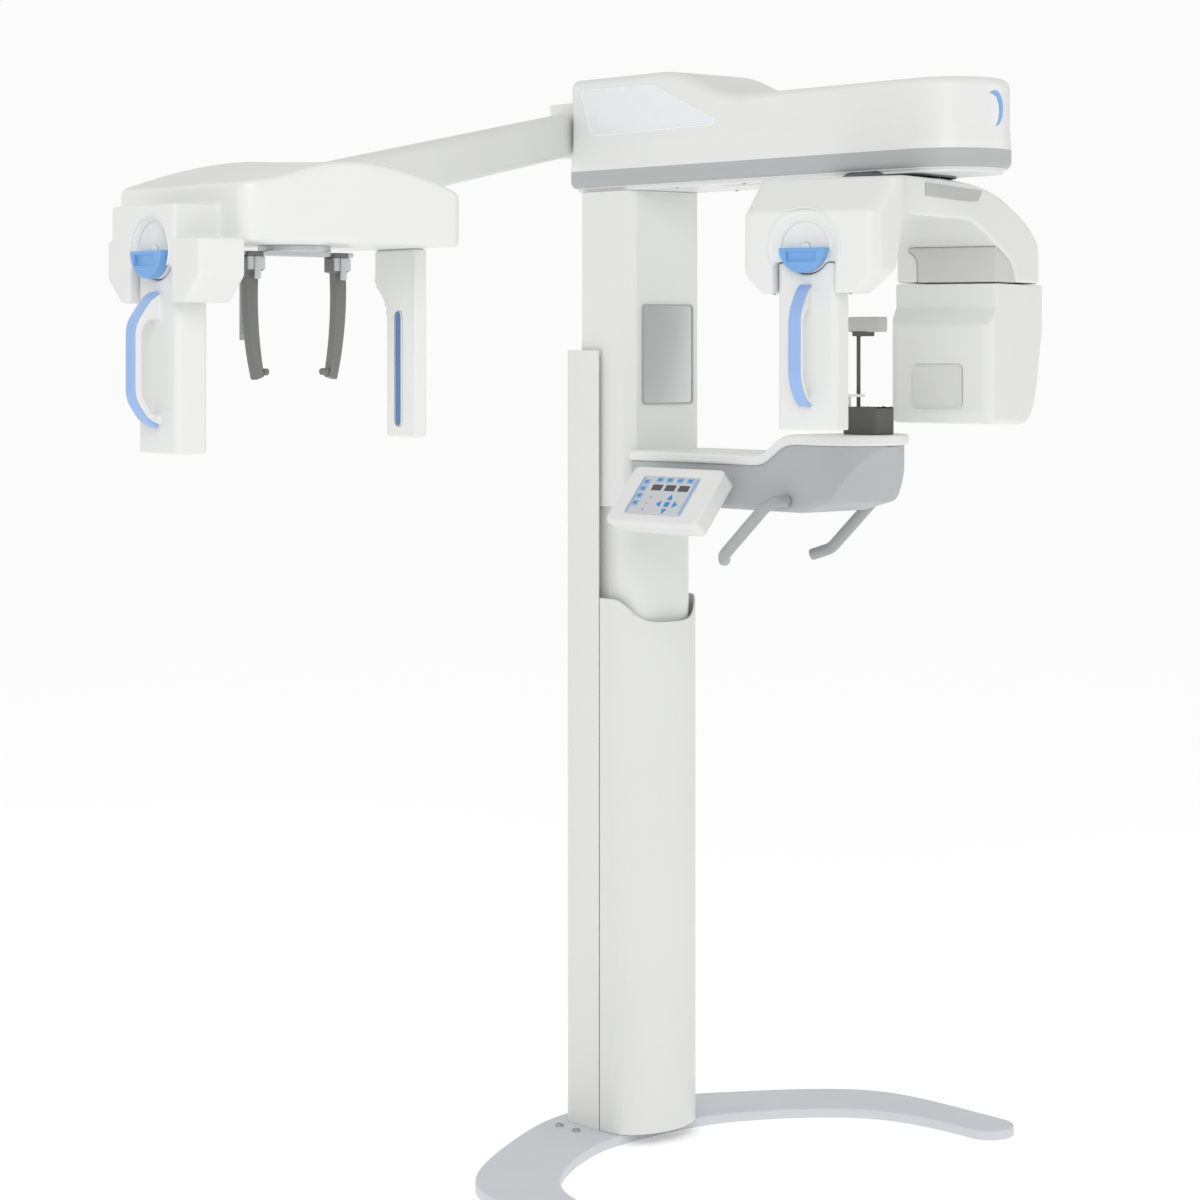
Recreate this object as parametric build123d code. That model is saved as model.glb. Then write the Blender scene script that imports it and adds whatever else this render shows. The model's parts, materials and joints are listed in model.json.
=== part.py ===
from build123d import *
from math import atan, degrees
import os

# Panoramic X-ray unit with a cephalometric arm.
# Millimetres. Origin on the floor below the column, +Z up, -Y towards the
# patient, the cephalometric arm reaches out towards -X.

os.makedirs("parts", exist_ok=True)

# ------------------------------------------------------------ driving sizes
PLATE_TOP = 20              # floor plate thickness
POST_HALF = 118             # half width of the fixed rear post
POST_FRONT = -8
POST_REAR = 110
POST_TOP = 1671
COVER_HALF = 115            # half width of the fixed front cover
COVER_RIM = 1147
SKIN = 4                    # moulded and folded covers
WIDE = 150                  # half width of cutting solids, wider than any housing

WEB_FRONT = 84              # front face of the steel mast's web
WEB_REAR = 104
MAST_HALF = 85
MAST_TOP = 1640
MAST_WALL = 6
RAIL_X = 60
RAIL_FACE = 68
SCREW_Y = 73
SCREW_R = 8
RUNNING_GAP = 0.05          # radial clearance of every running fit

CARRIAGE_FOOT = 1080
BEAM_TOP = 2030
COLUMN_HALF = 95            # narrow part of the rising column
COLUMN_FACE = -90
SHELL_HALF = 106            # wide part of the rising column
SHELL_FACE = -95
SHELL_REAR = 60
SHELL_FOOT = 1340

GANTRY_FOOT = 2008
GANTRY_HALF = 115
GANTRY_REAR = 100
NOSE_Y = -901
TRIM_FOOT = 2015
TRIM_TOP = 2052
GANTRY_TOP = 2187
HUMP_TOP = 2248
AXIS_Y = -765               # rotation axis of the C-arm
FLOOR_OPENING_R = 100

TRAY_HALF = 110
TRAY_TIP_Y = -642           # centre of the tray's round end
TRAY_RIM = 21               # height of the white rim
TRAY_ROOT_Z = 1462          # top of the tray next to the column
TRAY_TOP_Z = 1506           # top of the chin platform
KEEL_Z = 1350
STEP_NEAR = -465            # where the top starts and stops climbing, along Y
STEP_FAR = -592
ROD_Y = -657                # the head support's rod
ROD_R = 4
BITE_X = -20
BITE_Y = -650

ARM_ANGLE = 19.7            # how far the C-arm is turned at rest
BOX_FACE = -406             # outer face of the image sensor, along the beam
HUB_FACE = -420             # end of the hub that holds the sensor
HUB_FOOT = 1776
LATCH_ACROSS = 6
LATCH_Z = 1859
BOX_DEPTH = 62
BOX_HALF = 60
BOX_FOOT = -333             # sensor heights are counted from the latch
BOX_HEAD = -27
LATCH_R = 46
PIVOT_R = 8
TUBE_FRONT = 216
TUBE_SEAM = 1808
ARCH_UNDER = 1926           # flat underside of the arch
ARM_PLUS = 113              # faces of the C-arm on either side of the beam
ARM_MINUS = -106

CEPH_FACE = -1574
CEPH_Y = -582
CEPH_LATCH_Z = 1836
CEPH_X = -1300              # turning axis of the ear rods
HEAD_FOOT = 1850

PANEL_CENTRE = (-195, -299, 1377.5)
PANEL_NORMAL = (-0.782, 0, 0.623)

ARM_PLACE = Pos(0, AXIS_Y, 0) * Rot(0, 0, ARM_ANGLE)
PANO_LATCH = ARM_PLACE * Pos(BOX_FACE, LATCH_ACROSS, LATCH_Z)
CEPH_LATCH = Pos(CEPH_FACE, CEPH_Y, CEPH_LATCH_Z)
PANEL = Plane(origin=PANEL_CENTRE, x_dir=(0, -1, 0), z_dir=PANEL_NORMAL)


# ------------------------------------------------------------------ helpers
def block(x, y, z):
    """Box between the low and high limit given on each axis."""
    size = [high - low for low, high in (x, y, z)]
    centre = [(high + low) / 2 for low, high in (x, y, z)]
    return Pos(*centre) * Box(*size)


def bar(start, end, radius):
    """Round bar from one point to another."""
    reach = Vector(*end) - Vector(*start)
    return extrude(Plane(origin=start, z_dir=reach) * Circle(radius), reach.length)


def upright(outline, foot, head):
    """Plan outline stood up between two heights."""
    return extrude(Pos(0, 0, foot) * outline, head - foot, dir=(0, 0, 1))


def across_x(outline, low, high):
    """Outline drawn in Y and Z, pulled along X."""
    return extrude(Plane.YZ.offset(low) * outline, high - low, dir=(1, 0, 0))


def across_y(outline, low, high):
    """Outline drawn in X and Z, pulled along Y."""
    return extrude(Plane.XZ.offset(-low) * outline, high - low, dir=(0, 1, 0))


def polygon(*points):
    return Polygon(*points, align=None)


def rounded(points, radius):
    """Polygon with every corner rounded."""
    shape = polygon(*points)
    return fillet(shape.vertices(), radius)


def mirrored(shape):
    """The shape and its twin on the other side of the column's centre plane."""
    return shape + mirror(shape, about=Plane.YZ)


def tube(points, radius, bend):
    """Bent round bar along a path with rounded corners."""
    path = FilletPolyline(*points, radius=bend)
    return sweep(Plane(origin=path @ 0, z_dir=path % 0) * Circle(radius), path)


# ---------------------------------------------------------------- the stand
def base_plate():
    """Crescent floor plate, with blind holes for levelling feet underneath."""
    outer = Spline((0, 150), (292, 58), (533, -113), (601, -505), tangents=[(1, 0), (0, -1)])
    tip = ThreePointArc((601, -505), (546, -568), (490, -530))
    inner = Spline((490, -530), (415, -235), (230, -105), (0, -65), tangents=[(0, 1), (-1, 0)])
    half = [outer, tip, inner]
    plate = upright(make_face(half + [mirror(edge, Plane.YZ) for edge in half]), 0, PLATE_TOP)
    plate = fillet(plate.edges().group_by(Axis.Z)[-1], 3)
    feet = [Pos(x, y, 0) * Cylinder(5, 28) for x in (-530, 530) for y in (-450, -220)]
    return plate - feet


def post_plan(inset):
    """Plan of the rear post: square at the front, rounded at the back."""
    half = POST_HALF - inset
    rear = POST_REAR - inset
    plan = polygon((-half, POST_FRONT), (half, POST_FRONT), (half, rear), (-half, rear))
    return fillet(plan.vertices().group_by(Axis.Y)[-1], 30 - inset)


def wall_holes(radius):
    """Four holes through the back of the post for a wall bracket."""
    return [
        bar((x, 90, z), (x, 115, z), radius)
        for x in (-60, 60)
        for z in (1500, 1600)
    ]


def post_cover():
    """Fixed rear post, open towards the rising column, closed behind it."""
    shell = upright(post_plan(0), PLATE_TOP, POST_TOP)
    shell -= upright(post_plan(SKIN), PLATE_TOP, POST_TOP)
    cap = upright(post_plan(0), POST_TOP - SKIN, POST_TOP)
    cap &= block((-POST_HALF, POST_HALF), (SHELL_REAR + 4, POST_REAR), (POST_TOP - SKIN, POST_TOP))
    return shell + cap - wall_holes(5)


def cover_plan(inset):
    """Plan of the front cover: straight sides and an elliptic nose."""
    half = COVER_HALF - inset
    nose = Pos(0, -40) * Ellipse(half, 72 - inset)
    flanks = polygon((-half, -40), (half, -40), (half, POST_FRONT), (-half, POST_FRONT))
    behind = polygon((-half, POST_FRONT), (half, POST_FRONT), (half, 60), (-half, 60))
    return nose + flanks - behind


def front_cover():
    """Fixed front cover whose rim dips in an S at the nose."""
    shell = upright(cover_plan(0), PLATE_TOP, COVER_RIM)
    shell -= upright(cover_plan(SKIN), PLATE_TOP, COVER_RIM)
    dip_start = (-50, COVER_RIM)
    dip_end = (-114, COVER_RIM - 50)
    above = COVER_RIM + 50
    cut = make_face([
        Bezier(dip_start, (-82, COVER_RIM), (-84, COVER_RIM - 49), dip_end),
        Line(dip_end, (-140, COVER_RIM - 50)),
        Line((-140, COVER_RIM - 50), (-140, above)),
        Line((-140, above), (-50, above)),
        Line((-50, above), dip_start),
    ])
    return shell - across_x(cut, -WIDE, WIDE)


def mast():
    """Folded steel channel that carries the lift, with its foot and screw bearing."""
    inside = MAST_HALF - MAST_WALL
    height = (PLATE_TOP, MAST_TOP)
    channel = block((-MAST_HALF, MAST_HALF), (WEB_FRONT, WEB_REAR), height)
    channel -= block((-inside, inside), (WEB_FRONT + MAST_WALL, WEB_REAR - MAST_WALL), height)
    channel -= block((-45, 45), (WEB_REAR - MAST_WALL - 1, WEB_REAR + 1), height)
    foot = block((-90, 90), (36, WEB_REAR), (PLATE_TOP, PLATE_TOP + 10))
    bearing = block((-20, 20), (64, WEB_FRONT), (MAST_TOP - 38, MAST_TOP - 18))
    journal = Pos(0, SCREW_Y, MAST_TOP - 28) * Cylinder(SCREW_R + RUNNING_GAP, 30)
    return channel + foot + bearing - journal - wall_holes(4.2)


def lift_rails():
    return [
        block((x - 10, x + 10), (RAIL_FACE, WEB_FRONT), (700, MAST_TOP - 10))
        for x in (-RAIL_X, RAIL_X)
    ]


def lift_motor():
    """Geared motor below the screw."""
    gearbox = block((-34, 34), (30, 83), (140, 230))
    gearbox = fillet(gearbox.edges().filter_by(Axis.Z), 8)
    motor = Pos(0, 56, 90) * Cylinder(26, 100)
    pedestal = block((-30, 30), (36, 80), (PLATE_TOP + 10, 40))
    seat = Pos(0, SCREW_Y, 225) * Cylinder(SCREW_R + RUNNING_GAP, 30)
    return gearbox + motor + pedestal - seat


def lead_screw():
    """Ball screw, shown as a plain shaft of its outer diameter."""
    return bar((0, SCREW_Y, 215), (0, SCREW_Y, MAST_TOP - 25), SCREW_R)


# ------------------------------------------------------- the rising column
def lift_carriage():
    """Beam inside the column, its back plate, four rail blocks and the screw nut."""
    height = (CARRIAGE_FOOT, BEAM_TOP)
    beam = block((-60, 60), (-50, 30), height) - block((-54, 54), (-44, 24), height)
    plate = block((-82, 82), (30, 44), (CARRIAGE_FOOT, CARRIAGE_FOOT + 210))
    blocks = [
        block((x - 22, x + 22), (44, 80), (z, z + 60))
        - block((x - 10.5, x + 10.5), (RAIL_FACE - 0.5, 81), (z, z + 60))
        for x in (-RAIL_X, RAIL_X)
        for z in (CARRIAGE_FOOT, CARRIAGE_FOOT + 150)
    ]
    nut = block((-18, 18), (44, 82), (CARRIAGE_FOOT + 80, CARRIAGE_FOOT + 130))
    nut -= Pos(0, SCREW_Y, CARRIAGE_FOOT + 105) * Cylinder(SCREW_R + RUNNING_GAP, 60)
    return beam + plate + blocks + nut


def column_plan(inset):
    """Narrow column: round front corners, open at the back."""
    half = COLUMN_HALF - inset
    face = COLUMN_FACE + inset
    rear = 30 + 2 * inset
    plan = polygon((-half, face), (half, face), (half, rear), (-half, rear))
    return fillet(plan.vertices().group_by(Axis.Y)[0], 50 - inset)


def inner_column():
    return upright(column_plan(0) - column_plan(3), 620, SHELL_FOOT + 6)


def shell_plan(inset):
    """Wide column: flat sides and chamfered front corners."""
    half = SHELL_HALF - inset
    face = SHELL_FACE + inset
    rear = SHELL_REAR - inset
    plan = polygon((-half, face), (half, face), (half, rear), (-half, rear))
    return chamfer(plan.vertices().group_by(Axis.Y)[0], 20 - inset / 2)


def upper_shell():
    """Wide part of the column, with a lip that closes onto the narrow part."""
    shell = upright(shell_plan(0), SHELL_FOOT, GANTRY_FOOT)
    shell -= upright(shell_plan(3), SHELL_FOOT + SKIN, GANTRY_FOOT)
    return shell - upright(column_plan(0), SHELL_FOOT, SHELL_FOOT + SKIN)


MIRROR_RIM = 3
MIRROR_SIZE = (144, 211)
MIRROR_Z = 1662.5


def mirror_outline(inset):
    width, height = MIRROR_SIZE
    plate = RectangleRounded(width - 2 * inset, height - 2 * inset, 9 - inset / 2)
    return Pos(0, MIRROR_Z) * plate


def mirror_frame():
    return across_y(mirror_outline(0) - mirror_outline(MIRROR_RIM), SHELL_FACE - 4, SHELL_FACE)


def mirror_glass():
    return across_y(mirror_outline(MIRROR_RIM), SHELL_FACE - 2.5, SHELL_FACE)


# ----------------------------------------------------------- patient support
def tray_step(top_root, top_end):
    """S-shaped run from the low root level up to the platform level."""
    return Bezier((STEP_NEAR, top_root), (-525, top_root), (-520, top_end), (STEP_FAR, top_end))


def tray_plan(inset):
    half = TRAY_HALF - inset
    root = polygon((-half, TRAY_TIP_Y), (half, TRAY_TIP_Y), (half, SHELL_FACE), (-half, SHELL_FACE))
    return root + Pos(0, TRAY_TIP_Y) * Circle(half)


def rod_hole():
    """Hole that guides the head support's rod."""
    return bar((0, ROD_Y, 1385), (0, ROD_Y, 1565), ROD_R + RUNNING_GAP)


def tray_top():
    """White rim and platform."""
    end = TRAY_TIP_Y - TRAY_HALF - 8
    under_root, under_top = TRAY_ROOT_Z - TRAY_RIM, TRAY_TOP_Z - TRAY_RIM
    profile = make_face([
        Line((SHELL_FACE, TRAY_ROOT_Z), (STEP_NEAR, TRAY_ROOT_Z)),
        tray_step(TRAY_ROOT_Z, TRAY_TOP_Z),
        Line((STEP_FAR, TRAY_TOP_Z), (end, TRAY_TOP_Z)),
        Line((end, TRAY_TOP_Z), (end, under_top)),
        Line((end, under_top), (STEP_FAR, under_top)),
        tray_step(under_root, under_top),
        Line((STEP_NEAR, under_root), (SHELL_FACE, under_root)),
        Line((SHELL_FACE, under_root), (SHELL_FACE, TRAY_ROOT_Z)),
    ])
    slab = across_x(profile, -WIDE, WIDE) & upright(tray_plan(0), KEEL_Z, TRAY_TOP_Z + 50)
    rim = [e for e in slab.edges() if abs(e.center().X) > 50 or e.center().Y < -700]
    slab = fillet(rim, 6)
    return slab - rod_hole()


def tray_body():
    """Grey body below the rim: flat keel and a raked front."""
    low, high = TRAY_ROOT_Z - TRAY_RIM, TRAY_TOP_Z - TRAY_RIM
    brow, knee, keel_end = (-745, high), (-668, KEEL_Z + 21), (-586, KEEL_Z)
    profile = make_face([
        Line((SHELL_FACE, low), (STEP_NEAR, low)),
        tray_step(low, high),
        Line((STEP_FAR, high), brow),
        Line(brow, knee),
        Line(knee, keel_end),
        Line(keel_end, (SHELL_FACE, KEEL_Z)),
        Line((SHELL_FACE, KEEL_Z), (SHELL_FACE, low)),
    ])
    body = across_x(profile, -WIDE, WIDE) & upright(tray_plan(9), KEEL_Z - 50, TRAY_TOP_Z)
    keel = [
        e for e in body.edges()
        if e.center().Z < 1400 and e.center().Y < -120 and abs(e.center().X) > 50
    ]
    body = fillet(keel, 14)
    return body - rod_hole()


def grab_handles():
    """Bent hand grips on both sides of the tray."""
    root = (9 - TRAY_HALF, -562, KEEL_Z + 24)
    elbow = (-152, -562, KEEL_Z + 24)
    low_bend = (-152, -432, KEEL_Z - 88)
    tip = (-121, -400, KEEL_Z - 103)
    return mirrored(tube([root, elbow, low_bend, tip], radius=12, bend=26))


def chin_block():
    """Dark block the chin stands on, bored for the rod and the bite post."""
    block_plan = rounded([(-30, -728), (30, -728), (30, -640), (-30, -640)], 8)
    chin = upright(block_plan, TRAY_TOP_Z, TRAY_TOP_Z + 54)
    scoop = bar((-22, -715, 1603), (22, -715, 1603), 46)
    post_hole = bar((BITE_X, BITE_Y, TRAY_TOP_Z), (BITE_X, BITE_Y, 1564), ROD_R + RUNNING_GAP)
    return chin - scoop - rod_hole() - post_hole


def head_support():
    """Rod and forehead bar."""
    rod = bar((0, ROD_Y, 1450), (0, ROD_Y, 1699), ROD_R)
    foot = block((-12, 12), (-690, -650), (1699, 1708))
    rest = block((-13, 13), (-722, -640), (1708, 1736))
    rest = fillet(rest.edges().filter_by(Axis.Z), 5)
    return rod + foot + rest


def bite_post():
    """Thin post with the bite piece on top."""
    post = bar((BITE_X, BITE_Y, TRAY_TOP_Z + 6), (BITE_X, BITE_Y, 1580), ROD_R)
    bite = block((-27, -13), (-690, -640), (1580, 1585))
    return post + fillet(bite.edges().filter_by(Axis.Z), 4)


# ------------------------------------------------------------- control panel
PANEL_WIDTH = 272
PANEL_HEIGHT = 144
PANEL_DEPTH = 43
KEY_CENTRE = (25, -22)
KEY_PITCH = (23, 16)
KEY_GAP = 0.4
FILM_THICKNESS = 1.2


def key_outline(name, grow):
    """Outline of an arrow key, or of the square key in the middle."""
    if name == "centre":
        return RectangleRounded(13 + 2 * grow, 11 + 2 * grow, 2)
    turn = {"right": 0, "up": 90, "left": 180, "down": 270}[name]
    arrow = RegularPolygon(8 + 2 * grow, 3, major_radius=True)
    return Rot(0, 0, turn) * arrow


def key_place(name):
    side, rise = {
        "centre": (0, 0), "up": (0, 1), "down": (0, -1), "left": (-1, 0), "right": (1, 0),
    }[name]
    return Pos(KEY_CENTRE[0] + side * KEY_PITCH[0], KEY_CENTRE[1] + rise * KEY_PITCH[1])


def on_panel(outline, low, high):
    """Outline on the panel's face, pulled along its normal."""
    return extrude(PANEL.offset(low) * outline, high - low)


def key(name):
    return on_panel(key_place(name) * key_outline(name, 0), -0.6, 2.0)


KEY_NAMES = ("up", "down", "left", "right", "centre")


def panel_housing():
    """Tilted housing with tapering sides and an arm to the tray."""
    body = extrude(PANEL * RectangleRounded(PANEL_WIDTH, PANEL_HEIGHT, 16), -PANEL_DEPTH, taper=8)
    body = fillet(body.faces().sort_by(Axis(PANEL_CENTRE, PANEL_NORMAL))[-1].edges(), 5)
    pockets = [on_panel(key_place(name) * key_outline(name, KEY_GAP), -1.6, 1) for name in KEY_NAMES]
    bracket = block((-150, -TRAY_HALF + 9), (-340, -260), (1354, 1392))
    return body + bracket - pockets


def panel_film():
    """Printed membrane with openings for the pressed keys and the displays."""
    film = Pos(-3, -1.5) * RectangleRounded(170, 95, 4)
    holes = [key_place(name) * key_outline(name, KEY_GAP) for name in KEY_NAMES]
    return on_panel(film - holes - display_outlines(), 0, FILM_THICKNESS)


def display_outlines():
    return [Pos(u, 18) * RectangleRounded(31, 15, 2) for u in (-31, 9, 49)]


def panel_displays():
    return [on_panel(outline, 0, 1.0) for outline in display_outlines()]


# --------------------------------------------------------------- the gantry
def gantry_plan(inset):
    """Long plan with a half-round nose and soft rear corners."""
    half = GANTRY_HALF - inset
    rear = GANTRY_REAR - inset
    body = polygon((-half, NOSE_Y), (half, NOSE_Y), (half, rear), (-half, rear))
    body = fillet(body.vertices().group_by(Axis.Y)[-1], 26 - inset)
    return body + Pos(0, NOSE_Y) * Circle(half)


def gantry_side(drop):
    """Side view of the white cover: hump at the back, level roof at the front."""
    roof = GANTRY_TOP - drop
    hump = HUMP_TOP - drop
    rear = GANTRY_REAR - drop
    back = ThreePointArc((rear + 4, hump), (rear - 9, 2140), (rear, TRIM_TOP))
    fall = Bezier((-190, hump), (-300, hump), (-330, roof), (-450, roof))
    return make_face([
        back,
        Line((rear, TRIM_TOP), (-1030, TRIM_TOP)),
        Line((-1030, TRIM_TOP), (-1030, roof)),
        Line((-1030, roof), (-450, roof)),
        fall,
        Line((-190, hump), (rear + 4, hump)),
    ])


def inset_outline(grow):
    """Four-sided side facet, in Y and Z."""
    shape = polygon((55, 2225), (-173, 2221), (-379, 2130), (22, 2126))
    return offset(fillet(shape.vertices(), 6), grow)


CREASE = 2097
WAIST = 3                   # how far the walls draw in above the crease
ROOF_ROUND = 18
ROOF_SKIN = 8               # keeps a wall behind the rounded roof edges
BADGE_WIDTH = 11


def on_roof_edge(edge):
    """True on the outer edges of the gantry's roof, false on the creases across it."""
    centre = edge.center()
    outside = abs(centre.X) > 20 or abs(centre.Y) > 880 or centre.Y > 90
    return outside and centre.Z > 2150


def gantry_cover():
    """White cover, drawn in slightly above a crease, hollow below."""
    flare = degrees(atan(WAIST / (CREASE - TRIM_TOP)))
    lower = extrude(Pos(0, 0, TRIM_TOP) * gantry_plan(0), CREASE - TRIM_TOP, taper=flare)
    upper = upright(gantry_plan(WAIST), CREASE, HUMP_TOP + 10)
    body = (lower + upper) & across_x(gantry_side(0), -200, 200)
    body = fillet(body.edges().filter_by(on_roof_edge), ROOF_ROUND)
    hollow = upright(gantry_plan(WAIST + ROOF_SKIN), TRIM_TOP, HUMP_TOP + 10)
    hollow &= across_x(gantry_side(ROOF_SKIN), -200, 200)
    face = GANTRY_HALF - WAIST
    pockets = mirrored(across_x(inset_outline(0.4), face - 1.5, face + 5))
    return body - hollow - pockets - badge_block(0.4)


def side_insets():
    face = GANTRY_HALF - WAIST
    return mirrored(across_x(inset_outline(0), face - 1.5, face - 0.3))


def badge_block(grow):
    """Blue crescent on the nose, following its round wall."""
    radius = GANTRY_HALF - WAIST
    outer = Ellipse(24 + grow, 33 + grow)
    inner = Ellipse(24 - grow, 33 - grow)
    crescent = outer - Pos(-BADGE_WIDTH, -BADGE_WIDTH / 2) * inner
    slug = across_y(Pos(0, 2128) * crescent, NOSE_Y - radius - 10, NOSE_Y - 60)
    skin = Circle(radius + 1) - Circle(radius - 1.5)
    return slug & upright(Pos(0, NOSE_Y) * skin, 2080, 2180)


def nose_badge():
    return badge_block(0)


def gantry_trim():
    """Grey bumper round the lower edge."""
    ring = upright(gantry_plan(0), TRIM_FOOT, TRIM_TOP)
    ring = fillet(ring.edges().group_by(Axis.Z)[0], 16)
    return ring - upright(gantry_plan(9), TRIM_FOOT - 1, TRIM_TOP + 1)


def gantry_floor():
    """Bottom cover with the round opening for the C-arm's shaft."""
    plate = upright(gantry_plan(16), GANTRY_FOOT, TRIM_FOOT)
    lip = upright(gantry_plan(9.2), TRIM_FOOT, TRIM_FOOT + 5)
    opening = Pos(0, AXIS_Y, TRIM_FOOT) * Cylinder(FLOOR_OPENING_R, 60)
    beam = block((-62, 62), (-52, 32), (GANTRY_FOOT - 1, TRIM_FOOT + 6))
    return plate + lip - opening - beam


STAGE_RAIL_X = 86


def gantry_frame():
    """Load frame on the column beam, with the rails of the lengthwise stage."""
    frame = block((-98, 98), (-880, 60), (2030, 2038))
    frame -= block((-76, 76), (AXIS_Y - 112, AXIS_Y + 112), (2029, 2039))
    stiffeners = [block((x - 4, x + 4), (-600, 60), (2038, 2090)) for x in (-80, 80)]
    rails = [
        block((x - 6, x + 6), (-878, -620), (2038, 2046))
        for x in (-STAGE_RAIL_X, STAGE_RAIL_X)
    ]
    return frame + stiffeners + rails


def stage_y():
    """Lengthwise stage: plate, blocks below it and crosswise rails above it."""
    plate = block((-97, 97), (-838, -668), (2050, 2058))
    plate -= Pos(0, AXIS_Y, 2054) * Cylinder(70, 20)
    shoes = [
        block((x - 11, x + 11), (y - 12, y + 12), (2040, 2050))
        - block((x - 6.4, x + 6.4), (y - 13, y + 13), (2039, 2046.5))
        for x in (-STAGE_RAIL_X, STAGE_RAIL_X)
        for y in (-826, -700)
    ]
    rails = [block((-97, 97), (y - 5, y + 5), (2058, 2064)) for y in (-832, -680)]
    return plate + shoes + rails


SHAFT_R = 27.5
SEAT_R = 44
PULLEY_R = 42
PINION_R = 12
MOTOR_Y = AXIS_Y + 78
BELT_Z = (2088, 2098)


def stage_x():
    """Crosswise stage: plate, shoes and the bearing that holds the shaft."""
    plate = block((-60, 60), (-842, -660), (2070, 2078))
    shoes = [
        block((x - 12, x + 12), (y - 9, y + 9), (2059, 2070))
        - block((x - 13, x + 13), (y - 5.4, y + 5.4), (2058, 2064.5))
        for x in (-45, 45)
        for y in (-832, -680)
    ]
    bearing = Pos(0, AXIS_Y, 2066) * Cylinder(38, 32)
    bore = Pos(0, AXIS_Y, 2070) * Cylinder(SHAFT_R + RUNNING_GAP, 60)
    return plate + shoes + bearing - bore


def rotation_motor():
    """Stepping motor on a bridge, its shaft pointing down to the belt."""
    motor = Pos(0, MOTOR_Y, 2137) * Box(44, 44, 62)
    bridge = block((-50, 50), (MOTOR_Y - 23, MOTOR_Y + 23), (2102, 2106))
    bridge -= Pos(0, MOTOR_Y, 2104) * Cylinder(9, 20)
    legs = [
        block((x - 5, x + 5), (MOTOR_Y - 20, MOTOR_Y + 20), (2078, 2102))
        for x in (-44, 44)
    ]
    return fillet(motor.edges().filter_by(Axis.Z), 5) + bridge + legs


def motor_pulley():
    """Small belt pulley with its hub."""
    pulley = Pos(0, MOTOR_Y, 2093) * Cylinder(PINION_R - 0.3, 10)
    return pulley + Pos(0, MOTOR_Y, 2101.5) * Cylinder(6, 7)


def belt_loop(grow):
    """Outline round both pulleys."""
    large = Pos(0, AXIS_Y) * Circle(PULLEY_R + grow)
    small = Pos(0, MOTOR_Y) * Circle(PINION_R + grow)
    span = MOTOR_Y - AXIS_Y
    lean = (PULLEY_R - PINION_R) / span
    reach = (1 - lean ** 2) ** 0.5
    big, little = PULLEY_R + grow, PINION_R + grow
    strip = polygon(
        (big * reach, AXIS_Y + big * lean),
        (little * reach, MOTOR_Y + little * lean),
        (-little * reach, MOTOR_Y + little * lean),
        (-big * reach, AXIS_Y + big * lean),
    )
    return large + small + strip


def drive_belt():
    return upright(belt_loop(2) - belt_loop(0), BELT_Z[0] + 1, BELT_Z[1] - 1)


# ---------------------------------------------------------------- the C-arm
def rotor_shaft():
    """Shaft, flange and driven pulley of the C-arm."""
    shaft = Pos(0, AXIS_Y, 2051) * Cylinder(SHAFT_R, 98)
    flange = Pos(0, AXIS_Y, 2004) * Cylinder(SEAT_R, 4)
    pulley = Pos(0, AXIS_Y, 2093) * (Cylinder(PULLEY_R - 0.3, 10) - Cylinder(SHAFT_R, 10))
    return shaft + flange + pulley


def arm_frame():
    """Aluminium spine inside the arm, with a seat for the shaft."""
    spine = block((-280, 344), (-40, 40), (1934, 1948))
    gusset = block((324, 384), (-40, 40), (1900, 1936))
    drop = block((364, 384), (-60, 60), (1786, 1905))
    seat = Pos(0, 0, 1975) * Cylinder(SEAT_R, 54)
    return ARM_PLACE * (spine + gusset + drop + seat)


def arm_crest(inset):
    """Top of the arch and the outside of its shoulder."""
    points = [
        (-352, 1988 - inset),
        (-60, 2001 - inset),
        (120, 1998 - inset),
        (366 - inset / 2, 1949 - inset),
        (516 - inset, TUBE_SEAM),
    ]
    return Spline(*points, tangents=[(1, 0.12), (0, -1)])


def arm_belly(inset):
    """Inside of the shoulder up to the underside of the arch."""
    points = [(354 + inset, TUBE_SEAM), (287 + inset / 2, 1867 + inset), (98, ARCH_UNDER + inset)]
    return Spline(*points, tangents=[(-0.15, 1), (-1, 0.1)])


def arm_side():
    """Side view of the upper arm, along the beam and up."""
    hub_back, hub_foot, hub_brow = (-350, HUB_FOOT), (HUB_FACE, HUB_FOOT), (HUB_FACE, 1925)
    return make_face([
        Line(hub_brow, (-352, 1988)),
        arm_crest(0),
        Line((516, TUBE_SEAM), (354, TUBE_SEAM)),
        arm_belly(0),
        Line((98, ARCH_UNDER), (-250, ARCH_UNDER)),
        Spline((-250, ARCH_UNDER), (-318, 1850), hub_back, tangents=[(-1, 0), (-0.2, -1)]),
        Line(hub_back, hub_foot),
        Line(hub_foot, hub_brow),
    ])


def arm_core():
    """Hollow of the arch and the shoulder, open to the tube cover below."""
    profile = make_face([
        arm_crest(SKIN),
        Line((516 - SKIN, TUBE_SEAM), (354 + SKIN, TUBE_SEAM)),
        arm_belly(SKIN),
        Line((98, ARCH_UNDER + SKIN), (-352, ARCH_UNDER + SKIN)),
        Line((-352, ARCH_UNDER + SKIN), (-352, 1988 - SKIN)),
    ])
    room = block((-290, 498), (-98, 104), (1700, 2050))
    room = fillet(room.edges().filter_by(Axis.Z).group_by(Axis.X)[-1], 30)
    core = across_y(profile, -98, 104) & room
    return core + Pos(0, 0, 2000) * Cylinder(SEAT_R + 1, 30)


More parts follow.
